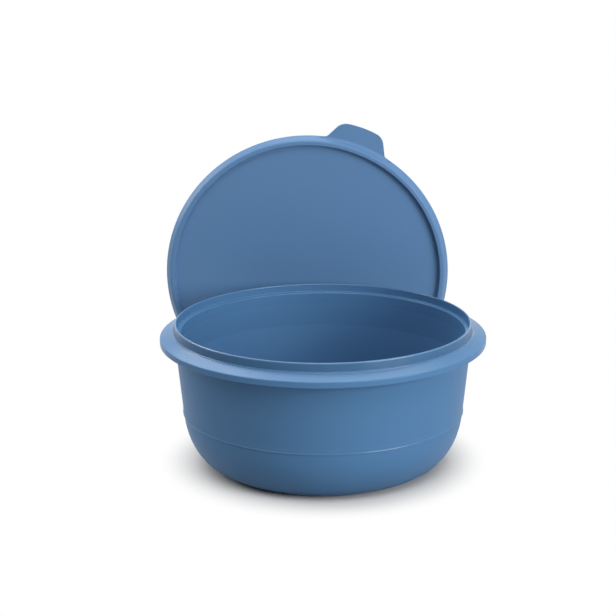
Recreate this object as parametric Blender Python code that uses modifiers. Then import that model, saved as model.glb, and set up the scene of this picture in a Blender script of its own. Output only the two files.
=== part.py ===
"""A round kitchen bowl with a press-on lid, at real size.

The bowl is one moulding: a rounded body, a flange round its top that is hollow below, and
above the flange an upright collar that the lid presses onto. The lid is the other moulding:
a raised bead that is hollow below and takes the collar, a skirt, a sunk panel inside the
bead, and a lift tab. The lid is off, and stands on the table behind the bowl, with its
panel leaning on the flange.

Metres, +Z up. The origin is the centre of the bowl's base.
"""

import math

import bmesh
import bpy

# Bowl
BOWL_HEIGHT = 0.1120            # table to the top of the rim
RIM_RADIUS = 0.1134             # outside of the collar, at its top
COLLAR_HEIGHT = 0.0069          # top of the rim down to the flange
COLLAR_WALL = 0.0015
COLLAR_FLARE = 0.0009           # the collar's foot is this much wider than its top
RING_WIDTH = 0.0013             # narrow raised ring round the collar's foot
RING_HEIGHT = 0.0007
FLANGE_WIDTH = 0.0116           # flange beyond the top of the collar
FLANGE_DROP = 0.0037            # the flange slopes down by this much
FLANGE_WALL = 0.0018
FLANGE_EDGE_HEIGHT = 0.0044     # upright outer edge of the flange
FLANGE_EDGE_ROUND = 0.0010
HOLLOW_CHAMFER = 0.0005         # under the flange, where its hollow meets the body
SHELF_DEPTH = 0.0062            # top of the rim down to the shelf inside
SHELF_WIDTH = 0.0031
SHELF_SLOPE = 0.0005
SHELF_ROUND = 0.0008
WALL = 0.0028
FLOOR_THICKNESS = 0.0028
WALL_TAPER = 0.0058             # the straight wall narrows by this much on its way down
CORNER_HEIGHT = 0.0467          # height at which the body begins to turn in
CORNER_WIDTH = 0.0317           # how far the body turns in
LINE_HEIGHT = 0.0420            # moulded line round the body
LINE_STEP = 0.0004              # the body is this much narrower below the line

# Lid
LID_WALL = 0.0011
PRESS_CLEARANCE = 0.0003        # lid to collar, when the lid is on
SKIRT_GAP = 0.0026              # edge of the skirt to the flange, when the lid is on
SHELF_CLEARANCE = 0.0020        # panel to shelf, when the lid is on
SKIRT_SLANT = math.radians(32.5)
BEAD_ROUND = 0.0009             # inner shoulder of the bead
BEAD_SHOULDER = 0.0020          # outer shoulder of the bead
PANEL_FILLET = 0.0009
SKIRT_EDGE_ROUND = 0.0004
TAB_TURN = math.radians(20.4)   # tab, clockwise from the top of the standing lid
TAB_REACH = 0.0137              # tab beyond the skirt
TAB_ROOT_WIDTH = 0.0504
TAB_TIP_WIDTH = 0.0357
TAB_CORNER = 0.0100
TAB_ROOT_ROUND = 0.0030         # between the tab's sides and the skirt
TAB_BOW = 0.0018                # the tab's outer edge bows out by this much
TAB_THICKNESS = 0.0018
TAB_FILLET = 0.0034
TAB_BITE = 0.0001               # the fillet runs this far into the skirt

# Lid off, standing behind the bowl
LID_OFFSET_X = -0.0117          # lid's centre from the bowl's axis
LEAN_GAP = 0.0003               # panel to flange
LIFT_CLEARANCE = 0.0012         # bead to flange, when the lid is lifted straight up

# Facets
TURN_STEPS = 80
CORNER_POINTS = 9
ROUND_POINTS = 4
MERGE_DISTANCE = 0.00001
SHARP_ANGLE = math.radians(35)

# Worked out from the bowl's sizes
COLLAR_FOOT_RADIUS = RIM_RADIUS + COLLAR_FLARE
COLLAR_INNER_RADIUS = RIM_RADIUS - COLLAR_WALL
FLANGE_RADIUS = RIM_RADIUS + FLANGE_WIDTH
FLANGE_START_RADIUS = COLLAR_FOOT_RADIUS + RING_WIDTH
FLANGE_START_HEIGHT = BOWL_HEIGHT - COLLAR_HEIGHT
FLANGE_END_HEIGHT = FLANGE_START_HEIGHT - FLANGE_DROP
FLANGE_SLOPE = FLANGE_DROP / (FLANGE_RADIUS - FLANGE_START_RADIUS)
WALL_FOOT_RADIUS = COLLAR_FOOT_RADIUS - WALL_TAPER
BASE_RADIUS = WALL_FOOT_RADIUS - CORNER_WIDTH
SHELF_INNER_RADIUS = COLLAR_INNER_RADIUS - SHELF_WIDTH
SHELF_HEIGHT = BOWL_HEIGHT - SHELF_DEPTH

# Worked out for the lid, whose own heights are above the edge of its skirt. On the bowl the
# channel in its bead holds the upper part of the collar, and its skirt ends above the flange.
CHANNEL_RADIUS = RIM_RADIUS + PRESS_CLEARANCE
PLUG_RADIUS = COLLAR_INNER_RADIUS - PRESS_CLEARANCE
SINK_RADIUS = PLUG_RADIUS - LID_WALL
CHANNEL_DEPTH = ((COLLAR_HEIGHT + PRESS_CLEARANCE - SKIRT_GAP
                  - (FLANGE_START_RADIUS - CHANNEL_RADIUS) * FLANGE_SLOPE)
                 / (1 - FLANGE_SLOPE * math.tan(SKIRT_SLANT)))
SKIRT_WALL = LID_WALL / math.cos(SKIRT_SLANT)
SKIRT_INNER_RADIUS = CHANNEL_RADIUS + CHANNEL_DEPTH * math.tan(SKIRT_SLANT)
LID_RADIUS = SKIRT_INNER_RADIUS + SKIRT_WALL
LID_HEIGHT = CHANNEL_DEPTH + LID_WALL
PANEL_SINK = SHELF_DEPTH + PRESS_CLEARANCE - SHELF_CLEARANCE
PANEL_HEIGHT = LID_HEIGHT - PANEL_SINK


def arc(centre, radii, start, end, count):
    """Points of an elliptical arc in the (radius, height) plane, angles in degrees."""
    points = []
    for index in range(count):
        angle = math.radians(start + (end - start) * index / (count - 1))
        points.append((centre[0] + radii[0] * math.cos(angle),
                       centre[1] + radii[1] * math.sin(angle)))
    return points


def round_arc(centre, radius, start, end, count=ROUND_POINTS):
    """Points of a circular arc in the (radius, height) plane, angles in degrees."""
    return arc(centre, (radius, radius), start, end, count)


def flange_top(radius):
    """Height of the flange's upper face at a radius."""
    return FLANGE_START_HEIGHT - (radius - FLANGE_START_RADIUS) * FLANGE_SLOPE


def outer_wall(height):
    """Outside radius of the body's straight wall at a height."""
    rise = (height - CORNER_HEIGHT) / (FLANGE_START_HEIGHT - CORNER_HEIGHT)
    return WALL_FOOT_RADIUS + WALL_TAPER * rise


def inner_profile():
    """Inside of the bowl, from the middle of the floor up to the collar."""
    wall_foot = WALL_FOOT_RADIUS - WALL
    corner = (CORNER_WIDTH - WALL, CORNER_HEIGHT - FLOOR_THICKNESS)
    points = [(0.0, FLOOR_THICKNESS)]
    points += arc((BASE_RADIUS, CORNER_HEIGHT), corner, -90, 0, CORNER_POINTS)
    # The wall keeps its thickness out to the shelf's radius, and goes straight up from there
    rise = (SHELF_INNER_RADIUS - wall_foot) / WALL_TAPER
    points.append((SHELF_INNER_RADIUS,
                   CORNER_HEIGHT + rise * (FLANGE_START_HEIGHT - CORNER_HEIGHT)))
    points += round_arc((SHELF_INNER_RADIUS + SHELF_ROUND,
                         SHELF_HEIGHT - SHELF_SLOPE - SHELF_ROUND), SHELF_ROUND, 180, 90, 3)
    points.append((COLLAR_INNER_RADIUS, SHELF_HEIGHT))
    return points


def flange_profile():
    """Collar's foot, flange and the hollow under it, from the top down."""
    edge_start = FLANGE_RADIUS - FLANGE_EDGE_ROUND
    edge_foot = FLANGE_END_HEIGHT - FLANGE_EDGE_HEIGHT
    edge_inside = FLANGE_RADIUS - FLANGE_WALL
    chamfer = FLANGE_WALL / 5
    ring_chamfer = RING_HEIGHT / 3
    ring_top = FLANGE_START_HEIGHT + RING_HEIGHT
    hollow = FLANGE_START_HEIGHT - FLANGE_WALL
    points = [
        (COLLAR_FOOT_RADIUS, ring_top),
        (FLANGE_START_RADIUS - ring_chamfer, ring_top),
        (FLANGE_START_RADIUS, ring_top - ring_chamfer),
        (FLANGE_START_RADIUS, FLANGE_START_HEIGHT),
    ]
    points += round_arc((edge_start, flange_top(edge_start) - FLANGE_EDGE_ROUND),
                        FLANGE_EDGE_ROUND, 70, 0)
    points += [
        (FLANGE_RADIUS, edge_foot + chamfer),
        (FLANGE_RADIUS - chamfer, edge_foot),
        (edge_inside + chamfer, edge_foot),
        (edge_inside, edge_foot + chamfer),
        (edge_inside, flange_top(edge_inside) - FLANGE_WALL),
        (FLANGE_START_RADIUS, hollow),
        (outer_wall(hollow - HOLLOW_CHAMFER), hollow - HOLLOW_CHAMFER),
    ]
    return points


def body_profile():
    """Outside of the body, from the top of the corner down to the middle of the base."""
    centre = (BASE_RADIUS, CORNER_HEIGHT)
    line_turn = math.degrees(math.asin((CORNER_HEIGHT - LINE_HEIGHT) / CORNER_HEIGHT))
    points = arc(centre, (CORNER_WIDTH, CORNER_HEIGHT), 0, -line_turn, 3)
    points += arc(centre, (CORNER_WIDTH - LINE_STEP, CORNER_HEIGHT),
                  -line_turn - math.degrees(LINE_STEP / CORNER_HEIGHT), -90, CORNER_POINTS)
    points.append((0.0, 0.0))
    return points


def bowl_profile():
    """Half section of the bowl: up the inside, over the rim and down the outside."""
    lip = COLLAR_WALL / 2
    points = inner_profile()
    points += round_arc((RIM_RADIUS - lip, BOWL_HEIGHT - lip), lip, 180, 0, 5)
    points += flange_profile()
    points += body_profile()
    return points


def skirt_radius(height):
    """Outside radius of the lid's skirt at a height above its edge."""
    return LID_RADIUS - height * math.tan(SKIRT_SLANT)


def lid_profile():
    """Half section of the lid lying flat: out over the top, then back in underneath."""
    slant = math.degrees(SKIRT_SLANT)
    shoulder_end = LID_HEIGHT - BEAD_SHOULDER * (1 - math.sin(SKIRT_SLANT))
    shoulder_radius = skirt_radius(shoulder_end) - BEAD_SHOULDER * math.cos(SKIRT_SLANT)
    panel_under = PANEL_HEIGHT - LID_WALL
    points = [(0.0, PANEL_HEIGHT)]
    points += round_arc((SINK_RADIUS - PANEL_FILLET, PANEL_HEIGHT + PANEL_FILLET),
                        PANEL_FILLET, -90, 0)
    points += round_arc((SINK_RADIUS + BEAD_ROUND, LID_HEIGHT - BEAD_ROUND),
                        BEAD_ROUND, 180, 90)
    points += round_arc((shoulder_radius, LID_HEIGHT - BEAD_SHOULDER),
                        BEAD_SHOULDER, 90, slant)
    points += [
        (skirt_radius(SKIRT_EDGE_ROUND), SKIRT_EDGE_ROUND),
        (LID_RADIUS - SKIRT_EDGE_ROUND, 0.0),
        (SKIRT_INNER_RADIUS, 0.0),
        (CHANNEL_RADIUS, CHANNEL_DEPTH),
        (PLUG_RADIUS, CHANNEL_DEPTH),
        (PLUG_RADIUS, panel_under + PANEL_FILLET),
        (PLUG_RADIUS - PANEL_FILLET, panel_under),
        (0.0, panel_under),
    ]
    return points


def tab_section():
    """Section of a ring that the tab is cut from: a plate with a fillet up onto the skirt."""
    slant = math.degrees(SKIRT_SLANT)
    fillet_height = TAB_THICKNESS + TAB_FILLET
    fillet_radius = skirt_radius(fillet_height) + (TAB_FILLET - TAB_BITE) / math.cos(SKIRT_SLANT)
    fillet = round_arc((fillet_radius, fillet_height), TAB_FILLET, 180 + slant, 270, 5)
    outer = LID_RADIUS + 2 * TAB_REACH
    in_wall = SKIRT_WALL / 2
    return [
        (skirt_radius(fillet[0][1]) - in_wall, fillet[0][1]),
        *fillet,
        (outer, TAB_THICKNESS),
        (outer, 0.0),
        (LID_RADIUS - in_wall, 0.0),
    ]


def rounded_corner(corner, before, after, radius, count):
    """Points that round off a corner of an outline between its two neighbours."""
    angle_before = math.atan2(before[1] - corner[1], before[0] - corner[0])
    angle_after = math.atan2(after[1] - corner[1], after[0] - corner[0])
    opening = (angle_after - angle_before + math.pi) % (2 * math.pi) - math.pi
    middle = angle_before + opening / 2
    reach = radius / math.sin(abs(opening) / 2)
    centre = (corner[0] + reach * math.cos(middle), corner[1] + reach * math.sin(middle))
    half_sweep = math.copysign(math.pi / 2 - abs(opening) / 2, opening)
    points = []
    for index in range(count):
        angle = middle + math.pi + half_sweep * (1 - 2 * index / (count - 1))
        points.append((centre[0] + radius * math.cos(angle),
                       centre[1] + radius * math.sin(angle)))
    return points


def tab_outline():
    """Outline of the tab in the lid's plane, with the tab pointing along +Y."""
    half_tip = TAB_TIP_WIDTH / 2
    tip = LID_RADIUS + TAB_REACH - TAB_BOW
    root_turn = math.asin(TAB_ROOT_WIDTH / 2 / LID_RADIUS)
    root = (LID_RADIUS * math.sin(root_turn), LID_RADIUS * math.cos(root_turn))
    # Past its root the outline runs on round the skirt, and ends inside the skirt's wall
    in_wall = LID_RADIUS - SKIRT_WALL / 2
    end_turn = root_turn + 2 * TAB_ROOT_ROUND / LID_RADIUS
    end = (in_wall * math.sin(end_turn), in_wall * math.cos(end_turn))
    bow = []
    for share in (0.6, 0.3, 0.0, -0.3, -0.6):
        bow.append((half_tip * share, tip + TAB_BOW * (1 - share ** 2)))
    right = [end]
    right += rounded_corner(root, end, (half_tip, tip), TAB_ROOT_ROUND, 4)
    right += rounded_corner((half_tip, tip), root, bow[0], TAB_CORNER, 7)
    left = [(-across, along) for across, along in reversed(right)]
    return right + bow + left


def clear_scene():
    """Remove every object of the scene."""
    for item in list(bpy.data.objects):
        bpy.data.objects.remove(item, do_unlink=True)


def new_collection(name):
    """Make a collection in the scene."""
    collection = bpy.data.collections.new(name)
    bpy.context.scene.collection.children.link(collection)
    return collection


def new_plastic(name, colour, roughness):
    """Make a plastic with a colour and a roughness."""
    material = bpy.data.materials.new(name)
    material.use_nodes = True
    shader = material.node_tree.nodes["Principled BSDF"]
    shader.inputs["Base Color"].default_value = (*colour, 1.0)
    shader.inputs["Roughness"].default_value = roughness
    shader.inputs["Metallic"].default_value = 0.0
    material.diffuse_color = (*colour, 1.0)
    return material


def turned(name, profile, collection, closed=False):
    """Turn a half section round the Z axis into a solid."""
    vertices = [(radius, 0.0, height) for radius, height in profile]
    edges = [(index, index + 1) for index in range(len(vertices) - 1)]
    if closed:
        edges.append((len(vertices) - 1, 0))
    mesh = bpy.data.meshes.new(name)
    mesh.from_pydata(vertices, edges, [])
    item = bpy.data.objects.new(name, mesh)
    collection.objects.link(item)
    turn = item.modifiers.new("Turn", 'SCREW')
    turn.axis = 'Z'
    turn.angle = 2 * math.pi
    turn.steps = TURN_STEPS
    turn.render_steps = TURN_STEPS
    turn.use_merge_vertices = True
    turn.merge_threshold = MERGE_DISTANCE
    return item


def evaluated_mesh(item):
    """The mesh of an object with its modifiers, as a mesh of its own."""
    bpy.context.view_layer.update()
    evaluated = item.evaluated_get(bpy.context.evaluated_depsgraph_get())
    return bpy.data.meshes.new_from_object(evaluated)


def outline_block(name, points, thickness, turn, collection):
    """Thicken a flat outline to both sides of the XY plane, turned about Z."""
    curve = bpy.data.curves.new(name, 'CURVE')
    curve.dimensions = '2D'
    curve.fill_mode = 'BOTH'
    curve.extrude = thickness / 2
    spline = curve.splines.new('POLY')
    spline.points.add(len(points) - 1)
    for point, (across, along) in zip(spline.points, points):
        point.co = (across, along, 0.0, 1.0)
    spline.use_cyclic_u = True
    outline = bpy.data.objects.new(name, curve)
    outline.rotation_euler.z = turn
    collection.objects.link(outline)
    mesh = evaluated_mesh(outline)
    weld(mesh)
    block = bpy.data.objects.new(name, mesh)
    block.matrix_world = outline.matrix_world.copy()
    collection.objects.link(block)
    bpy.data.objects.remove(outline, do_unlink=True)
    return block


def weld(mesh):
    """Join the loose caps of a mesh that was made from a curve."""
    shape = bmesh.new()
    shape.from_mesh(mesh)
    bmesh.ops.remove_doubles(shape, verts=shape.verts, dist=MERGE_DISTANCE)
    bmesh.ops.recalc_face_normals(shape, faces=shape.faces)
    shape.to_mesh(mesh)
    shape.free()


def combine(item, operation, tool):
    """Add a Boolean with another object to an object."""
    step = item.modifiers.new(operation.title(), 'BOOLEAN')
    step.operation = operation
    step.solver = 'EXACT'
    step.object = tool
    tool.hide_render = True
    tool.display_type = 'WIRE'


def finish(item, material):
    """Apply an object's modifiers, shade it smooth with sharp corners and colour it."""
    mesh = evaluated_mesh(item)
    item.modifiers.clear()
    item.data = mesh
    mesh.name = item.name
    mesh.shade_smooth()
    mesh.set_sharp_from_angle(angle=SHARP_ANGLE)
    mesh.materials.clear()
    mesh.materials.append(material)


def support(profile, lean):
    """Reach of a turned shape along a direction that rises from the horizontal by the lean."""
    return max(radius * math.cos(lean) + height * math.sin(lean) for radius, height in profile)


def lid_lean():
    """Lean at which the bead passes the flange when the lid is lifted straight up."""
    stands_out = PANEL_SINK + LIFT_CLEARANCE - LEAN_GAP
    contact_below_centre = LID_RADIUS - FLANGE_END_HEIGHT
    return math.asin(stands_out / (SINK_RADIUS + BEAD_ROUND - contact_below_centre))


def stand_lid(lid):
    """Stand the lid on its edge behind the bowl, with its panel leaning on the flange."""
    lean = lid_lean()
    height = support(lid_profile(), lean)
    reach = support(flange_profile(), lean) + LEAN_GAP + PANEL_HEIGHT
    lid.location = (LID_OFFSET_X, (reach - height * math.sin(lean)) / math.cos(lean), height)
    lid.rotation_euler = (math.pi / 2 + lean, 0.0, 0.0)


def make_bowl(collection):
    """Make the bowl, standing on its base at the origin."""
    bowl = turned("bowl", bowl_profile(), collection)
    finish(bowl, new_plastic("bowl_plastic", (0.052, 0.142, 0.270), 0.36))


def make_lid(collection, cutters):
    """Make the lid with its tab, and stand it behind the bowl."""
    lid = turned("lid", lid_profile(), collection)
    tab = turned("tab_ring", tab_section(), cutters, closed=True)
    outline = outline_block("tab_outline", tab_outline(), 4 * LID_HEIGHT, -TAB_TURN, cutters)
    combine(tab, 'INTERSECT', outline)
    combine(lid, 'UNION', tab)
    finish(lid, new_plastic("lid_plastic", (0.062, 0.170, 0.322), 0.42))
    stand_lid(lid)


def main():
    """Build the bowl and its lid."""
    clear_scene()
    parts = new_collection("lidded_bowl")
    cutters = new_collection("cutters")
    make_bowl(parts)
    make_lid(parts, cutters)


main()
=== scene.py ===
"""Looks of a round kitchen bowl and its press-on lid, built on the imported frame.

The bowl is one moulding of satin plastic: a rounded body, a flange round its top that is
hollow below, an upright collar that the lid presses onto, and a shelf inside the collar. The
lid is the other moulding: a raised bead that is hollow below, a skirt, a sunk panel and a lift
tab. The lid is off, and stands on the table behind the bowl with its panel on the flange.

Metres, +Z up. The origin is the centre of the bowl's base.
"""

import logging
import math
from dataclasses import dataclass
from enum import Enum

import bmesh
import bpy
from mathutils import Matrix, Vector


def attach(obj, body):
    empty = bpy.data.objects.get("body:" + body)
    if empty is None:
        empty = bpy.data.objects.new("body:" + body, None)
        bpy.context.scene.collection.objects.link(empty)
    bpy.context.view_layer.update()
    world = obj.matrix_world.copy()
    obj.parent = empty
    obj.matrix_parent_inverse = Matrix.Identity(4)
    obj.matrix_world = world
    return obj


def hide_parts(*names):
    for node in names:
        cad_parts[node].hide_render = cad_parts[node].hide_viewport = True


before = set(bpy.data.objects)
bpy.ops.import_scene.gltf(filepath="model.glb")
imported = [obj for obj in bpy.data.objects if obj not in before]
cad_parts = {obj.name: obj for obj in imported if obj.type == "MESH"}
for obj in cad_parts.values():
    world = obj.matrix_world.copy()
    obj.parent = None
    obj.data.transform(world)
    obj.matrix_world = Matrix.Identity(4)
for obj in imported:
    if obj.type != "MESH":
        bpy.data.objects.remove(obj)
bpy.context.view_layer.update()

log = logging.getLogger("kitchen_bowl")

Colour = tuple[float, float, float]
Place = tuple[float, float, float]

BLACK = (0.0, 0.0, 0.0, 1.0)
WHITE = (1.0, 1.0, 1.0, 1.0)
MERGE_DISTANCE = 0.000002
SHARP_CORNER = math.radians(40.0)
STEP_WIDTH = 0.0003


class Body(Enum):
    """The moving bodies of the frame."""

    BOWL = "bowl"
    LID = "lid"


class Join(Enum):
    """Ways in which one solid works on another."""

    UNION = "UNION"
    INTERSECT = "INTERSECT"


class Polish(Enum):
    """Roughness that the mould leaves on a plastic."""

    GLOSS = 0.16
    BRIGHT = 0.27
    SATIN = 0.36
    MATT = 0.45


class Combine(Enum):
    """Ways in which values are combined into one."""

    SUM = "ADD"
    PRODUCT = "MULTIPLY"
    LEAST = "MINIMUM"
    MOST = "MAXIMUM"


class Mix(Enum):
    """What a Mix node mixes: its data type, and the places of its inputs and its output."""

    NUMBER = ("FLOAT", 2, 3, 0)
    COLOUR = ("RGBA", 6, 7, 2)


def combine(tree: bpy.types.NodeTree, way: Combine,
            *values: bpy.types.NodeSocket) -> bpy.types.NodeSocket:
    """Combine values into one.

    Args:
        tree: Node tree that gets the nodes.
        way: How the values are combined.
        values: Sockets with the values.

    Returns:
        Socket with the result.
    """
    whole = values[0]
    for value in values[1:]:
        step = tree.nodes.new("ShaderNodeMath")
        step.operation = way.value
        tree.links.new(whole, step.inputs[0])
        tree.links.new(value, step.inputs[1])
        whole = step.outputs["Value"]
    return whole


def mix(tree: bpy.types.NodeTree, kind: Mix, share: bpy.types.NodeSocket,
        first: bpy.types.NodeSocket | tuple[float, ...],
        second: float | tuple[float, ...]) -> bpy.types.NodeSocket:
    """Mix two numbers or two colours.

    Args:
        tree: Node tree that gets the node.
        kind: What is mixed.
        share: Socket with the share of the second, from 0 to 1.
        first: Value of the first, or a socket with it.
        second: Value of the second.

    Returns:
        Socket with the mixed value.
    """
    data_type, first_place, second_place, result = kind.value
    node = tree.nodes.new("ShaderNodeMix")
    node.data_type = data_type
    tree.links.new(share, node.inputs[0])
    if isinstance(first, bpy.types.NodeSocket):
        tree.links.new(first, node.inputs[first_place])
    else:
        node.inputs[first_place].default_value = first
    node.inputs[second_place].default_value = second
    return node.outputs[result]


def step_up(tree: bpy.types.NodeTree, measure: bpy.types.NodeSocket, place: float,
            value: float) -> bpy.types.NodeSocket:
    """Turn a measure into a step, soft over the width of a step.

    Args:
        tree: Node tree that gets the node.
        measure: Socket with the measure, such as a height.
        place: Measure at which the step stands.
        value: Value past the step; before it is 0.

    Returns:
        Socket with the value.
    """
    step = tree.nodes.new("ShaderNodeMapRange")
    step.inputs["From Min"].default_value = place - STEP_WIDTH / 2
    step.inputs["From Max"].default_value = place + STEP_WIDTH / 2
    step.inputs["To Max"].default_value = value
    tree.links.new(measure, step.inputs["Value"])
    return step.outputs["Result"]


def band(tree: bpy.types.NodeTree, measure: bpy.types.NodeSocket, low: float, high: float,
         value: float) -> bpy.types.NodeSocket:
    """Mark what lies between two places of a measure.

    Args:
        tree: Node tree that gets the nodes.
        measure: Socket with the measure, such as a height.
        low: Where the band begins.
        high: Where it ends.
        value: Value within the band; outside it is 0.

    Returns:
        Socket with the value.
    """
    return combine(tree, Combine.SUM, step_up(tree, measure, low, value),
                   step_up(tree, measure, high, -value))


@dataclass(frozen=True)
class PolishedRim:
    """The part of a round piece above a height, which the mould leaves smoother than the rest.

    Its narrow edges are glossy, and the outside of its collar is darkened towards black as
    painted shade. The collar and each edge are given by their lower and upper heights, and the
    collar's outside begins at its radius.
    """

    height: float
    edges: tuple[tuple[float, float], ...]
    collar: tuple[float, float]
    collar_radius: float
    polish: Polish = Polish.BRIGHT
    edge_polish: Polish = Polish.GLOSS
    edge_gloss: float = 0.5
    # Share of black mixed into the collar's outside: painted shade, not a tone of the plastic.
    collar_painted_shade: float = 0.28

    def finish(self, tree: bpy.types.NodeTree, place: bpy.types.NodeSocket) -> None:
        """Give the rim its own roughness, its edges their gloss and its collar's outside
        painted shade.

        Args:
            tree: Node tree of the piece's material, finished for the rest of the piece.
            place: Socket that gives the point on the piece.
        """
        shader = tree.nodes["Principled BSDF"]
        parts = tree.nodes.new("ShaderNodeSeparateXYZ")
        tree.links.new(place, parts.inputs["Vector"])
        height = parts.outputs["Z"]

        rough = shader.inputs["Roughness"]
        above = step_up(tree, height, self.height, 1.0)
        tree.links.new(mix(tree, Mix.NUMBER, above, rough.links[0].from_socket,
                           self.polish.value), rough)

        gloss = [band(tree, height, low, high, self.edge_gloss) for low, high in self.edges]
        tree.links.new(combine(tree, Combine.SUM, *gloss), shader.inputs["Coat Weight"])
        shader.inputs["Coat Roughness"].default_value = self.edge_polish.value

        colour = shader.inputs["Base Color"]
        # Painted shade: the outside of the collar, between its ring and its lip, is mixed part
        # way to black.
        shade_band = band(tree, height, *self.collar, self.collar_painted_shade)
        outside = step_up(tree, self.radius(tree, place), self.collar_radius, 1.0)
        painted_shade = combine(tree, Combine.PRODUCT, shade_band, outside)
        tree.links.new(mix(tree, Mix.COLOUR, painted_shade, colour.links[0].from_socket, BLACK), colour)

    @staticmethod
    def radius(tree: bpy.types.NodeTree, place: bpy.types.NodeSocket) -> bpy.types.NodeSocket:
        """Measure how far a point is from the piece's upright axis.

        Args:
            tree: Node tree that gets the nodes.
            place: Socket that gives the point on the piece.

        Returns:
            Socket with the radius.
        """
        flat = tree.nodes.new("ShaderNodeVectorMath")
        flat.operation = 'MULTIPLY'
        flat.inputs[1].default_value = (1.0, 1.0, 0.0)
        tree.links.new(place, flat.inputs[0])
        length = tree.nodes.new("ShaderNodeVectorMath")
        length.operation = 'LENGTH'
        tree.links.new(flat.outputs["Vector"], length.inputs[0])
        return length.outputs["Value"]


@dataclass(frozen=True)
class MouldedPlastic:
    """A coloured plastic with the fine grain and the faint clouding of a moulding.

    Sizes are in metres.
    """

    name: str
    colour: Colour
    polish: Polish
    shine: float
    clouding: float = 0.035
    cloud_size: float = 0.060
    roughness_spread: float = 0.030
    patch_size: float = 0.014
    grain_size: float = 0.0007
    grain_depth: float = 0.000012
    grain_strength: float = 0.35
    rim: PolishedRim | None = None

    def make(self) -> bpy.types.Material:
        """Build the material.

        Returns:
            The new material.
        """
        material = bpy.data.materials.new(self.name)
        material.use_nodes = True
        material.diffuse_color = (*self.colour, 1.0)
        tree = material.node_tree
        shader = tree.nodes["Principled BSDF"]
        place = tree.nodes.new("ShaderNodeTexCoord").outputs["Object"]

        darker, lighter = (
            (*(part * level for part in self.colour), 1.0)
            for level in (1.0 - self.clouding, 1.0 + self.clouding))
        cloud = self.noise(tree, place, self.cloud_size)
        tree.links.new(mix(tree, Mix.COLOUR, cloud, darker, lighter),
                       shader.inputs["Base Color"])

        rough = tree.nodes.new("ShaderNodeMapRange")
        rough.inputs["To Min"].default_value = self.polish.value - self.roughness_spread
        rough.inputs["To Max"].default_value = self.polish.value + self.roughness_spread
        tree.links.new(self.noise(tree, place, self.patch_size), rough.inputs["Value"])
        tree.links.new(rough.outputs["Result"], shader.inputs["Roughness"])
        shader.inputs["Specular IOR Level"].default_value = self.shine
        if self.rim is not None:
            self.rim.finish(tree, place)

        bump = tree.nodes.new("ShaderNodeBump")
        bump.inputs["Strength"].default_value = self.grain_strength
        bump.inputs["Distance"].default_value = self.grain_depth
        tree.links.new(self.noise(tree, place, self.grain_size), bump.inputs["Height"])
        tree.links.new(bump.outputs["Normal"], shader.inputs["Normal"])
        return material

    @staticmethod
    def noise(tree: bpy.types.NodeTree, place: bpy.types.NodeSocket,
              size: float) -> bpy.types.NodeSocket:
        """Add a noise of a given size to the material.

        Args:
            tree: Node tree of the material.
            place: Socket that gives the point on the piece.
            size: Size of the noise's patches.

        Returns:
            The noise's value socket.
        """
        noise = tree.nodes.new("ShaderNodeTexNoise")
        noise.inputs["Scale"].default_value = 1.0 / size
        tree.links.new(place, noise.inputs["Vector"])
        return noise.outputs["Fac"]


def is_seen(tree: bpy.types.NodeTree) -> bpy.types.NodeSocket:
    """Tell the rays that show the background from those that only light the object.

    Args:
        tree: Node tree of the background's material or world.

    Returns:
        Socket that is 1 for what the camera sees, directly, mirrored or through something.
    """
    path = tree.nodes.new("ShaderNodeLightPath")
    rays = ("Is Camera Ray", "Is Glossy Ray", "Is Transmission Ray")
    return combine(tree, Combine.MOST, *(path.outputs[name] for name in rays))


@dataclass(frozen=True)
class Footprint:
    """A place where something stands on the paper, and how far its shadow is seen.

    The two reaches are distances from the centre, in metres.
    """

    centre: Place
    lit_reach: float
    white_reach: float

    def fade(self, tree: bpy.types.NodeTree,
             place: bpy.types.NodeSocket) -> bpy.types.NodeSocket:
        """Measure how far a point of the paper is from the footprint.

        Args:
            tree: Node tree of the material.
            place: Socket that gives the point on the paper.

        Returns:
            Socket that rises from 0 at the lit reach to 1 at the white reach.
        """
        distance = tree.nodes.new("ShaderNodeVectorMath")
        distance.operation = 'DISTANCE'
        distance.inputs[1].default_value = self.centre
        tree.links.new(place, distance.inputs[0])
        fade = tree.nodes.new("ShaderNodeMapRange")
        fade.interpolation_type = 'SMOOTHSTEP'
        fade.inputs["From Min"].default_value = self.lit_reach
        fade.inputs["From Max"].default_value = self.white_reach
        tree.links.new(distance.outputs["Value"], fade.inputs["Value"])
        return fade.outputs["Result"]


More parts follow.
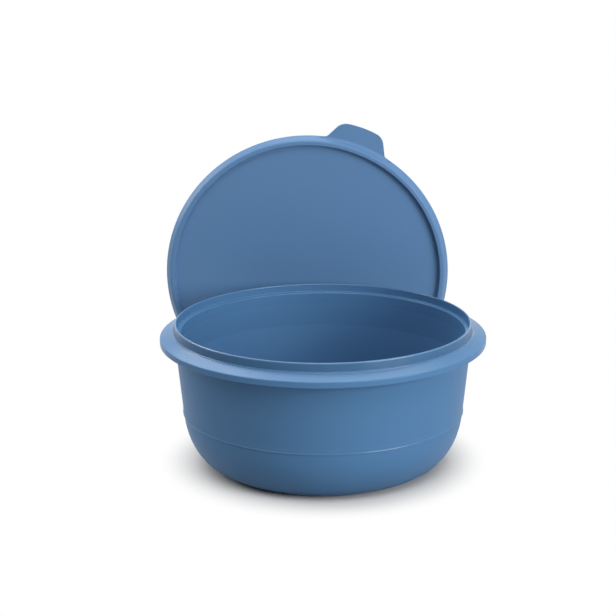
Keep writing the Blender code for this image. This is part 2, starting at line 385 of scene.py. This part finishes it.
@dataclass(frozen=True)
class FloorPaper:
    """White studio paper, seen lit and shaded round what stands on it, and white further off.

    The tone is what the light meets, and the seen tone what the camera shows at a footprint.
    """

    name: str
    tone: Colour = (0.48, 0.48, 0.48)
    seen_tone: Colour = (0.50, 0.50, 0.50)
    footprints: tuple[Footprint, ...] = (
        Footprint((0.0, 0.0, 0.0), 0.082, 0.130),
        Footprint((-0.0117, 0.1255, 0.0), 0.020, 0.080),
    )

    def make(self) -> bpy.types.Material:
        """Build the material.

        Returns:
            The new material.
        """
        material = bpy.data.materials.new(self.name)
        material.use_nodes = True
        tree = material.node_tree
        tree.nodes.remove(tree.nodes["Principled BSDF"])
        white = tree.nodes.new("ShaderNodeEmission")
        white.inputs["Color"].default_value = WHITE
        place = tree.nodes.new("ShaderNodeTexCoord").outputs["Object"]
        fades = [footprint.fade(tree, place) for footprint in self.footprints]
        seen = self.choose(tree, combine(tree, Combine.LEAST, *fades),
                           self.matt(tree, self.seen_tone), white.outputs["Emission"])
        paper = self.choose(tree, is_seen(tree), self.matt(tree, self.tone), seen)
        tree.links.new(paper, tree.nodes["Material Output"].inputs["Surface"])
        return material

    @staticmethod
    def matt(tree: bpy.types.NodeTree, tone: Colour) -> bpy.types.NodeSocket:
        """Add a matt surface.

        Args:
            tree: Node tree of the material.
            tone: Its colour.

        Returns:
            The surface's shader socket.
        """
        surface = tree.nodes.new("ShaderNodeBsdfDiffuse")
        surface.inputs["Color"].default_value = (*tone, 1.0)
        return surface.outputs["BSDF"]

    @staticmethod
    def choose(tree: bpy.types.NodeTree, share: bpy.types.NodeSocket,
               first: bpy.types.NodeSocket,
               second: bpy.types.NodeSocket) -> bpy.types.NodeSocket:
        """Choose between two surfaces.

        Args:
            tree: Node tree of the material.
            share: Socket with the share of the second, from 0 to 1.
            first: Shader socket of the first.
            second: Shader socket of the second.

        Returns:
            The shader socket of the choice.
        """
        choice = tree.nodes.new("ShaderNodeMixShader")
        tree.links.new(share, choice.inputs["Fac"])
        tree.links.new(first, choice.inputs[1])
        tree.links.new(second, choice.inputs[2])
        return choice.outputs["Shader"]


class Drawing:
    """An outline in the XZ plane, drawn from corner to corner, and then turned or thickened."""

    def __init__(self) -> None:
        """Start an empty drawing."""
        self.shape: bmesh.types.BMesh = bmesh.new()
        self.first: bmesh.types.BMVert | None = None
        self.last: bmesh.types.BMVert | None = None
        self.rounds: list[tuple[bmesh.types.BMVert, float]] = []

    def corner(self, across: float, along: float, fillet: float = 0.0) -> None:
        """Draw a straight line to a corner.

        Args:
            across: The corner's X.
            along: The corner's Z.
            fillet: Radius that rounds the corner off.
        """
        vertex = self.shape.verts.new((across, 0.0, along))
        self.join(vertex)
        if fillet > 0.0:
            self.rounds.append((vertex, fillet))
        self.last = vertex

    def sweep(self, centre: tuple[float, float], radii: tuple[float, float],
              start: float, end: float, steps: int) -> None:
        """Draw an elliptical arc.

        Args:
            centre: The ellipse's centre.
            radii: Its half width and half height.
            start: Angle at which the arc starts, in degrees from +X towards +Z.
            end: Angle at which it ends.
            steps: Number of straight pieces.
        """
        angle = math.radians(start)
        vertex = self.shape.verts.new((centre[0] + radii[0] * math.cos(angle), 0.0,
                                       centre[1] + radii[0] * math.sin(angle)))
        middle = Vector((centre[0], 0.0, centre[1]))
        before = set(self.shape.verts)
        made = bmesh.ops.spin(self.shape, geom=[vertex], cent=middle, axis=(0.0, 1.0, 0.0),
                              angle=math.radians(start - end), steps=steps,
                              use_merge=False, use_duplicate=False)
        arc = [vertex] + [item for item in self.shape.verts if item not in before]
        bmesh.ops.scale(self.shape, vec=(1.0, 1.0, radii[1] / radii[0]),
                        space=Matrix.Translation(-middle), verts=arc)
        self.join(vertex)
        self.last = [item for item in made["geom_last"]
                     if isinstance(item, bmesh.types.BMVert)][0]

    def join(self, vertex: bmesh.types.BMVert) -> None:
        """Join a vertex to the end of the line.

        Args:
            vertex: The vertex.
        """
        if self.last is None:
            self.first = vertex
        else:
            self.shape.edges.new((self.last, vertex))

    def close(self) -> None:
        """Draw a line back to the start."""
        self.shape.edges.new((self.last, self.first))

    def round_off(self, segments: int) -> None:
        """Round the corners that have a fillet.

        Args:
            segments: Straight pieces in each fillet.
        """
        for vertex, fillet in self.rounds:
            ways = [edge.other_vert(vertex).co - vertex.co for edge in vertex.link_edges]
            reach = fillet / math.tan(ways[0].angle(ways[1]) / 2.0)
            bmesh.ops.bevel(self.shape, geom=[vertex], offset=reach, offset_type='OFFSET',
                            segments=segments, profile=0.5, affect='VERTICES', material=-1)
        self.rounds = []

    def turn(self, steps: int, start: float = 0.0, degrees: float = 360.0) -> bmesh.types.BMesh:
        """Turn the drawing about the Z axis.

        Args:
            steps: Number of steps.
            start: Angle about Z at which the turn starts, in degrees.
            degrees: Size of the turn.

        Returns:
            The turned shape, closed.
        """
        shape = self.shape
        bmesh.ops.rotate(shape, verts=shape.verts, cent=(0.0, 0.0, 0.0),
                         matrix=Matrix.Rotation(math.radians(start), 3, 'Z'))
        bmesh.ops.spin(shape, geom=[*shape.verts, *shape.edges], cent=(0.0, 0.0, 0.0),
                       axis=(0.0, 0.0, 1.0), angle=math.radians(degrees), steps=steps,
                       use_merge=degrees >= 360.0, use_duplicate=False)
        close_up(shape)
        return shape

    def thicken(self, low: float, high: float) -> bmesh.types.BMesh:
        """Fill the closed drawing, lay it in the XY plane and give it a thickness.

        Args:
            low: Height of the lower face.
            high: Height of the upper face.

        Returns:
            The flat block.
        """
        shape = self.shape
        bmesh.ops.rotate(shape, verts=shape.verts, cent=(0.0, 0.0, 0.0),
                         matrix=Matrix.Rotation(math.radians(-90.0), 3, 'X'))
        bmesh.ops.translate(shape, verts=shape.verts, vec=(0.0, 0.0, low))
        face = bmesh.ops.contextual_create(shape, geom=shape.edges)["faces"]
        made = bmesh.ops.extrude_face_region(shape, geom=face)["geom"]
        raised = [item for item in made if isinstance(item, bmesh.types.BMVert)]
        bmesh.ops.translate(shape, verts=raised, vec=(0.0, 0.0, high - low))
        close_up(shape)
        return shape


def close_up(shape: bmesh.types.BMesh) -> None:
    """Merge a shape's seams and poles, fill its open ends and point its faces outwards.

    Args:
        shape: The shape.
    """
    bmesh.ops.remove_doubles(shape, verts=shape.verts, dist=MERGE_DISTANCE)
    bmesh.ops.holes_fill(shape, edges=shape.edges, sides=0)
    bmesh.ops.recalc_face_normals(shape, faces=shape.faces)


def new_object(name: str, shape: bmesh.types.BMesh) -> bpy.types.Object:
    """Turn a bmesh into an object of the scene.

    Args:
        name: The object's name.
        shape: The shape, which is freed.

    Returns:
        The object.
    """
    mesh = bpy.data.meshes.new(name)
    shape.to_mesh(mesh)
    shape.free()
    item = bpy.data.objects.new(name, mesh)
    bpy.context.scene.collection.objects.link(item)
    return item


def work_on(item: bpy.types.Object, join: Join, tool: bpy.types.Object) -> None:
    """Let one solid work on another, and remove it.

    Args:
        item: The solid that is kept.
        join: How the two work together.
        tool: The solid that is used up.
    """
    step = item.modifiers.new("Join", 'BOOLEAN')
    step.operation = join.value
    step.solver = 'EXACT'
    step.object = tool
    bpy.context.view_layer.update()
    ready = item.evaluated_get(bpy.context.evaluated_depsgraph_get())
    mesh = bpy.data.meshes.new_from_object(ready)
    item.modifiers.clear()
    item.data = mesh
    mesh.name = item.name
    bpy.data.objects.remove(tool, do_unlink=True)


def smooth(item: bpy.types.Object) -> None:
    """Shade a piece smooth, with its flat faces flat and its sharp corners sharp.

    Args:
        item: The piece.
    """
    item.data.shade_smooth()
    item.data.set_sharp_from_angle(angle=SHARP_CORNER)
    even = item.modifiers.new("Even normals", 'WEIGHTED_NORMAL')
    even.mode = 'FACE_AREA'
    even.keep_sharp = True


def dress(item: bpy.types.Object, finish: MouldedPlastic, body: Body, node: str) -> None:
    """Give a piece its finish and its place in the frame.

    Args:
        item: The piece.
        finish: Its finish.
        body: The body that it rides on.
        node: The CAD node that it stands for.
    """
    item.data.materials.clear()
    item.data.materials.append(finish.make())
    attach(item, body.value)
    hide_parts(node)


@dataclass
class KitchenBowl:
    """The bowl: a body with a rounded foot, a hollow flange, a collar and a shelf inside it."""

    height: float = 0.1120
    rim_radius: float = 0.1134
    collar_height: float = 0.0069
    collar_wall: float = 0.0015
    collar_flare: float = 0.0009
    ring_width: float = 0.0013
    ring_height: float = 0.0007
    ring_round: float = 0.0003
    flange_width: float = 0.0116
    flange_drop: float = 0.0037
    flange_wall: float = 0.0018
    flange_edge_height: float = 0.0044
    flange_edge_round: float = 0.0010
    hollow_chamfer: float = 0.0005
    shelf_depth: float = 0.0062
    shelf_width: float = 0.0031
    shelf_slope: float = 0.0005
    shelf_round: float = 0.0008
    wall: float = 0.0028
    floor: float = 0.0028
    wall_taper: float = 0.0058
    wall_bend_round: float = 0.0040
    corner_height: float = 0.0467
    corner_width: float = 0.0317
    line_height: float = 0.0420
    line_step: float = 0.0004
    line_ridge: float = 0.0003
    small_round: float = 0.0004
    steps: int = 240
    fillet_steps: int = 6
    lip_steps: int = 14
    foot_steps: int = 36
    foot_top_steps: int = 4
    inner_foot_steps: int = 28
    # The rim's collar band is darkened on its outside as painted shade.
    finish: MouldedPlastic = MouldedPlastic(
        "bowl_satin", (0.058, 0.143, 0.274), Polish.MATT, shine=0.09,
        rim=PolishedRim(height=0.0964, collar=(0.1059, 0.1110), collar_radius=0.1128,
                        edges=((0.0415, 0.0424), (0.1050, 0.1060), (0.1110, 0.1125))))

    @property
    def collar_foot_radius(self) -> float:
        """Outside of the collar at its foot."""
        return self.rim_radius + self.collar_flare

    @property
    def collar_inner_radius(self) -> float:
        """Inside of the collar."""
        return self.rim_radius - self.collar_wall

    @property
    def flange_radius(self) -> float:
        """Outside of the flange."""
        return self.rim_radius + self.flange_width

    @property
    def flange_start(self) -> tuple[float, float]:
        """Radius and height at which the flange's upper face starts."""
        return (self.collar_foot_radius + self.ring_width, self.height - self.collar_height)

    @property
    def flange_slope(self) -> float:
        """Fall of the flange's upper face for each metre outwards."""
        return self.flange_drop / (self.flange_radius - self.flange_start[0])

    @property
    def wall_foot_radius(self) -> float:
        """Outside of the body where it begins to turn in."""
        return self.collar_foot_radius - self.wall_taper

    @property
    def base_radius(self) -> float:
        """Radius of the flat base."""
        return self.wall_foot_radius - self.corner_width

    def flange_top(self, radius: float) -> float:
        """Height of the flange's upper face at a radius."""
        return self.flange_start[1] - (radius - self.flange_start[0]) * self.flange_slope

    def wall_radius(self, height: float) -> float:
        """Outside radius of the body's straight wall at a height."""
        rise = (height - self.corner_height) / (self.flange_start[1] - self.corner_height)
        return self.wall_foot_radius + self.wall_taper * rise

    def draw_inside(self, section: Drawing) -> None:
        """Draw the inside, from the middle of the floor up to the collar.

        Args:
            section: The half section that it is drawn in.
        """
        shelf_radius = self.collar_inner_radius - self.shelf_width
        shelf_height = self.height - self.shelf_depth
        inner_foot = self.wall_foot_radius - self.wall
        rise = (shelf_radius - inner_foot) / self.wall_taper
        bend = self.corner_height + rise * (self.flange_start[1] - self.corner_height)
        section.corner(0.0, self.floor)
        section.sweep((self.base_radius, self.corner_height),
                      (self.corner_width - self.wall, self.corner_height - self.floor),
                      -90.0, 0.0, self.inner_foot_steps)
        section.corner(shelf_radius, bend, self.wall_bend_round)
        section.corner(shelf_radius, shelf_height - self.shelf_slope, self.shelf_round)
        section.corner(self.collar_inner_radius, shelf_height, self.small_round)

    def draw_rim(self, section: Drawing) -> None:
        """Draw the collar's round lip, its outside and the narrow ring round its foot.

        Args:
            section: The half section that it is drawn in.
        """
        lip = self.collar_wall / 2
        foot = self.collar_foot_radius
        start, top = self.flange_start
        section.sweep((self.rim_radius - lip, self.height - lip), (lip, lip), 180.0, 0.0,
                      self.lip_steps)
        section.corner(foot, top + self.ring_height, self.ring_round / 2)
        section.corner(start, top + self.ring_height, self.ring_round)
        section.corner(start, top, self.ring_round)

    def draw_flange(self, section: Drawing) -> None:
        """Draw the flange and the hollow under it, back to the body.

        Args:
            section: The half section that it is drawn in.
        """
        edge = self.flange_radius
        inside = edge - self.flange_wall
        edge_foot = self.flange_start[1] - self.flange_drop - self.flange_edge_height
        hollow = self.flange_start[1] - self.flange_wall
        section.corner(edge, self.flange_top(edge), self.flange_edge_round)
        section.corner(edge, edge_foot, self.small_round)
        section.corner(inside, edge_foot, self.small_round)
        section.corner(inside, self.flange_top(inside) - self.flange_wall, self.shelf_round)
        section.corner(self.flange_start[0], hollow)
        section.corner(self.wall_radius(hollow - self.hollow_chamfer),
                       hollow - self.hollow_chamfer)

    def draw_body(self, section: Drawing) -> None:
        """Draw the outside of the body with its moulded line, down to the base.

        Args:
            section: The half section that it is drawn in.
        """
        centre = (self.base_radius, self.corner_height)
        drop = self.corner_height - self.line_height
        turn = math.degrees(math.asin(drop / self.corner_height))
        step = math.degrees(self.line_step / self.corner_height)
        ridge = self.corner_width + self.line_ridge
        below = self.corner_width - self.line_step
        section.sweep(centre, (self.corner_width, self.corner_height), 0.0, -turn + step,
                      self.foot_top_steps)
        section.sweep(centre, (ridge, self.corner_height), -turn, -turn - step / 2, 1)
        section.sweep(centre, (below, self.corner_height), -turn - step, -90.0,
                      self.foot_steps)
        section.corner(0.0, 0.0)

    def build(self) -> bpy.types.Object:
        """Build and dress the bowl.

        Returns:
            The bowl.
        """
        section = Drawing()
        self.draw_inside(section)
        self.draw_rim(section)
        self.draw_flange(section)
        self.draw_body(section)
        section.round_off(self.fillet_steps)
        bowl = new_object("kitchen_bowl", section.turn(self.steps))
        smooth(bowl)
        dress(bowl, self.finish, Body.BOWL, "bowl")
        return bowl


@dataclass
class PressLid:
    """The lid: a hollow bead and skirt that take the bowl's collar, a sunk panel and a tab.

    Its own heights are above the edge of its skirt. The tab's turn and span and the lid's lean
    are in degrees, and the other angles in radians.
    """

    bowl: KitchenBowl
    wall: float = 0.0011
    press_clearance: float = 0.0003
    skirt_gap: float = 0.0026
    shelf_clearance: float = 0.0020
    slant: float = math.radians(32.5)
    bead_round: float = 0.0009
    bead_shoulder: float = 0.0020
    panel_fillet: float = 0.0009
    edge_round: float = 0.0005
    small_round: float = 0.0003
    tab_turn: float = 20.4
    tab_reach: float = 0.0137
    tab_root_width: float = 0.0504
    tab_tip_width: float = 0.0357
    tab_corner: float = 0.0100
    tab_root_round: float = 0.0030
    tab_bow: float = 0.0018
    tab_thickness: float = 0.0018
    tab_fillet: float = 0.0034
    tab_bite: float = 0.0001
    tab_edge_round: float = 0.0004
    tab_span: float = 36.0
    tab_bow_share: float = 0.6
    tab_cutter: tuple[float, float] = (-0.01, 0.02)
    tab_flat_angle: float = math.radians(0.2)
    tab_edge_angle: float = math.radians(50.0)
    lean: float = 3.2751
    stands_at: Place = (-0.0117, 0.126068, 0.117855)
    steps: int = 240
    fillet_steps: int = 8
    tab_steps: int = 54
    tab_fillet_steps: int = 12
    tab_corner_steps: int = 12
    tab_bow_steps: int = 8
    tab_edge_steps: int = 4
    # Painted light: the lid is the same plastic as the bowl, and its colour is set lighter to
    # stand in for more light falling on it.
    finish: MouldedPlastic = MouldedPlastic("lid_satin", (0.083, 0.173, 0.318), Polish.SATIN,
                                            shine=0.18)

    @property
    def channel_radius(self) -> float:
        """Outer side of the channel at its top."""
        return self.bowl.rim_radius + self.press_clearance

    @property
    def plug_radius(self) -> float:
        """Inner side of the channel, which goes inside the collar."""
        return self.bowl.collar_inner_radius - self.press_clearance

    @property
    def sink_radius(self) -> float:
        """Radius of the recess over the panel."""
        return self.plug_radius - self.wall

    @property
    def channel_depth(self) -> float:
        """Depth of the channel, whose skirt ends above the flange when the lid is on."""
        slope = self.bowl.flange_slope
        fall = (self.bowl.flange_start[0] - self.channel_radius) * slope
        room = self.bowl.collar_height + self.press_clearance - self.skirt_gap - fall
        return room / (1 - slope * math.tan(self.slant))

    @property
    def skirt_inner_radius(self) -> float:
        """Inside of the skirt at its edge."""
        return self.channel_radius + self.channel_depth * math.tan(self.slant)

    @property
    def radius(self) -> float:
        """Outside of the skirt at its edge."""
        return self.skirt_inner_radius + self.wall / math.cos(self.slant)

    @property
    def height(self) -> float:
        """Top of the bead."""
        return self.channel_depth + self.wall

    @property
    def panel_height(self) -> float:
        """Upper face of the sunk panel."""
        sink = self.bowl.shelf_depth + self.press_clearance - self.shelf_clearance
        return self.height - sink

    def skirt_radius(self, height: float) -> float:
        """Outside radius of the skirt at a height."""
        return self.radius - height * math.tan(self.slant)

    def draw_section(self) -> Drawing:
        """Draw the half section: out over the top, then back in underneath.

        Returns:
            The half section.
        """
        section = Drawing()
        under = self.panel_height - self.wall
        section.corner(0.0, self.panel_height)
        section.corner(self.sink_radius, self.panel_height, self.panel_fillet)
        section.corner(self.sink_radius, self.height, self.bead_round)
        section.corner(self.skirt_radius(self.height), self.height, self.bead_shoulder)
        section.corner(self.radius, 0.0, self.edge_round)
        section.corner(self.skirt_inner_radius, 0.0, self.small_round)
        section.corner(self.channel_radius, self.channel_depth, self.small_round)
        section.corner(self.plug_radius, self.channel_depth, self.small_round)
        section.corner(self.plug_radius, under, self.panel_fillet)
        section.corner(0.0, under)
        section.round_off(self.fillet_steps)
        return section

    def draw_tab_section(self) -> Drawing:
        """Draw the section of the ring that the tab is cut from.

        Returns:
            The section: a plate with a fillet up onto the skirt.
        """
        section = Drawing()
        slant = math.degrees(self.slant)
        top = self.tab_thickness + self.tab_fillet
        middle = (self.skirt_radius(top)
                  + (self.tab_fillet - self.tab_bite) / math.cos(self.slant))
        crown = top - self.tab_fillet * math.sin(self.slant)
        in_wall = self.wall / 2
        outer = self.radius + 2 * self.tab_reach
        section.corner(self.skirt_radius(crown) - in_wall, crown)
        section.sweep((middle, top), (self.tab_fillet, self.tab_fillet),
                      180.0 + slant, 270.0, self.tab_fillet_steps)
        section.corner(outer, self.tab_thickness)
        section.corner(outer, 0.0)
        section.corner(self.radius - in_wall, 0.0)
        section.close()
        return section

    def draw_tab_outline(self) -> Drawing:
        """Draw the tab's outline, with the tab pointing along +Z of the drawing.

        Returns:
            The outline.
        """
        half_tip = self.tab_tip_width / 2
        tip = self.radius + self.tab_reach - self.tab_bow
        root_turn = math.asin(self.tab_root_width / 2 / self.radius)
        end_turn = root_turn + 2 * self.tab_root_round / self.radius
        in_wall = self.radius - self.wall / 2
        root = (self.radius * math.sin(root_turn), self.radius * math.cos(root_turn))
        end = (in_wall * math.sin(end_turn), in_wall * math.cos(end_turn))
        bow_radius = (half_tip ** 2 + self.tab_bow ** 2) / (2 * self.tab_bow)
        bow_end = math.degrees(math.asin(self.tab_bow_share * half_tip / bow_radius))
        outline = Drawing()
        outline.corner(*end)
        outline.corner(*root, self.tab_root_round)
        outline.corner(half_tip, tip, self.tab_corner)
        outline.sweep((0.0, tip + self.tab_bow - bow_radius), (bow_radius, bow_radius),
                      90.0 - bow_end, 90.0 + bow_end, self.tab_bow_steps)
        outline.corner(-half_tip, tip, self.tab_corner)
        outline.corner(-root[0], root[1], self.tab_root_round)
        outline.corner(-end[0], end[1])
        outline.close()
        outline.round_off(self.tab_corner_steps)
        return outline

    def build_tab(self) -> bpy.types.Object:
        """Build the tab with its fillet and its rounded edges.

        Returns:
            The tab, which reaches into the skirt's wall.
        """
        start = 90.0 - self.tab_turn - self.tab_span / 2
        ring = self.draw_tab_section().turn(self.tab_steps, start, self.tab_span)
        tab = new_object("tab", ring)
        outline = self.draw_tab_outline().thicken(*self.tab_cutter)
        bmesh.ops.rotate(outline, verts=outline.verts, cent=(0.0, 0.0, 0.0),
                         matrix=Matrix.Rotation(math.radians(-self.tab_turn), 3, 'Z'))
        work_on(tab, Join.INTERSECT, new_object("tab_outline", outline))
        self.round_tab(tab)
        return tab

    def round_tab(self, tab: bpy.types.Object) -> None:
        """Round the edges of the tab that stand clear of the skirt.

        Args:
            tab: The tab.
        """
        shape = bmesh.new()
        shape.from_mesh(tab.data)
        bmesh.ops.remove_doubles(shape, verts=shape.verts, dist=MERGE_DISTANCE)
        bmesh.ops.dissolve_limit(shape, angle_limit=self.tab_flat_angle,
                                 verts=shape.verts, edges=shape.edges)
        clear = self.radius - self.wall / 2
        edges = []
        for edge in shape.edges:
            ends = [vertex.co.xy.length for vertex in edge.verts]
            outside = max(ends) > clear and min(ends) > self.skirt_radius(self.height)
            sharp = len(edge.link_faces) == 2 and edge.calc_face_angle() > self.tab_edge_angle
            if outside and sharp:
                edges.append(edge)
        bmesh.ops.bevel(shape, geom=edges, offset=self.tab_edge_round, offset_type='OFFSET',
                        segments=self.tab_edge_steps, profile=0.5, affect='EDGES', material=-1,
                        clamp_overlap=True)
        shape.to_mesh(tab.data)
        shape.free()

    def build(self) -> bpy.types.Object:
        """Build and dress the lid, standing behind the bowl.

        Returns:
            The lid.
        """
        lid = new_object("press_lid", self.draw_section().turn(self.steps))
        work_on(lid, Join.UNION, self.build_tab())
        place = (Matrix.Translation(self.stands_at)
                 @ Matrix.Rotation(math.radians(90.0 + self.lean), 4, 'X'))
        lid.data.transform(place)
        smooth(lid)
        dress(lid, self.finish, Body.LID, "lid")
        return lid


@dataclass(frozen=True)
class Softbox:
    """A rectangular studio lamp that points at the bowl."""

    name: str
    place: Place
    width: float
    height: float
    power: float

    def make(self, target: Vector) -> None:
        """Hang the lamp.

        Args:
            target: Point that it faces.
        """
        light = bpy.data.lights.new(self.name, 'AREA')
        light.shape = 'RECTANGLE'
        light.size = self.width
        light.size_y = self.height
        light.energy = self.power
        lamp = bpy.data.objects.new(self.name, light)
        lamp.location = self.place
        aim = target - Vector(self.place)
        lamp.rotation_euler = aim.to_track_quat('-Z', 'Y').to_euler()
        bpy.context.scene.collection.objects.link(lamp)


@dataclass
class Studio:
    """The camera, the paper floor, the lamps and the white surroundings.

    Angles are in degrees.
    """

    lens: float = 96.32
    sensor_width: float = 36.0
    near: float = 0.05
    far: float = 200.0
    camera_place: Place = (-0.01131, -1.2180, 0.4513)
    camera_tilt: float = 74.85
    camera_roll: float = -0.30
    floor_size: float = 60.0
    paper: FloorPaper = FloorPaper("white_paper")
    lamp_aim: Place = (0.0, 0.02, 0.08)
    lamps: tuple[Softbox, ...] = (
        Softbox("key_lamp", (1.080, -0.935, 0.488), 0.90, 0.70, 20.0),
        Softbox("small_lamp", (1.142, -0.862, 0.560), 0.15, 0.15, 2.0),
        Softbox("front_lamp", (0.200, -0.830, 1.300), 1.40, 0.60, 12.5),
        Softbox("left_lamp", (-1.319, 0.310, 0.758), 0.80, 0.80, 12.5),
        Softbox("back_left_lamp", (-0.746, 0.858, 1.104), 0.70, 0.70, 9.0),
        Softbox("back_lamp", (0.026, 0.779, 1.399), 1.20, 0.80, 17.0),
        Softbox("top_lamp", (0.000, -0.100, 1.500), 0.70, 0.70, 5.0),
    )

    def set_camera(self) -> None:
        """Set up the camera."""
        lens = bpy.data.cameras.new("camera")
        lens.lens = self.lens
        lens.sensor_width = self.sensor_width
        lens.clip_start = self.near
        lens.clip_end = self.far
        camera = bpy.data.objects.new("camera", lens)
        camera.location = self.camera_place
        turn = (Matrix.Rotation(math.radians(self.camera_tilt), 3, 'X')
                @ Matrix.Rotation(math.radians(self.camera_roll), 3, 'Z'))
        camera.rotation_euler = turn.to_euler()
        bpy.context.scene.collection.objects.link(camera)
        bpy.context.scene.camera = camera

    def lay_floor(self) -> None:
        """Lay the paper."""
        shape = bmesh.new()
        bmesh.ops.create_grid(shape, x_segments=1, y_segments=1, size=self.floor_size / 2)
        paper = new_object("paper_floor", shape)
        paper.data.materials.append(self.paper.make())

    def hang_lamps(self) -> None:
        """Hang the lamps."""
        for lamp in self.lamps:
            lamp.make(Vector(self.lamp_aim))

    def set_surroundings(self) -> None:
        """Set surroundings that give no light, and that the camera sees white."""
        world = bpy.data.worlds.new("surroundings")
        world.use_nodes = True
        bpy.context.scene.world = world
        background = world.node_tree.nodes["Background"]
        background.inputs["Color"].default_value = WHITE
        world.node_tree.links.new(is_seen(world.node_tree), background.inputs["Strength"])

    def set_up(self) -> None:
        """Set up the whole studio."""
        bpy.context.scene.view_settings.view_transform = 'Standard'
        self.set_camera()
        self.lay_floor()
        self.hang_lamps()
        self.set_surroundings()
        log.info("studio: %d lamps", len(self.lamps))


def main() -> None:
    """Build the studio, the bowl and the lid."""
    logging.basicConfig(level=logging.INFO, format="%(message)s")
    Studio().set_up()
    bowl = KitchenBowl()
    for piece in (bowl.build(), PressLid(bowl).build()):
        log.info("%s: %d faces", piece.name, len(piece.data.polygons))


if __name__ == "__main__":
    main()
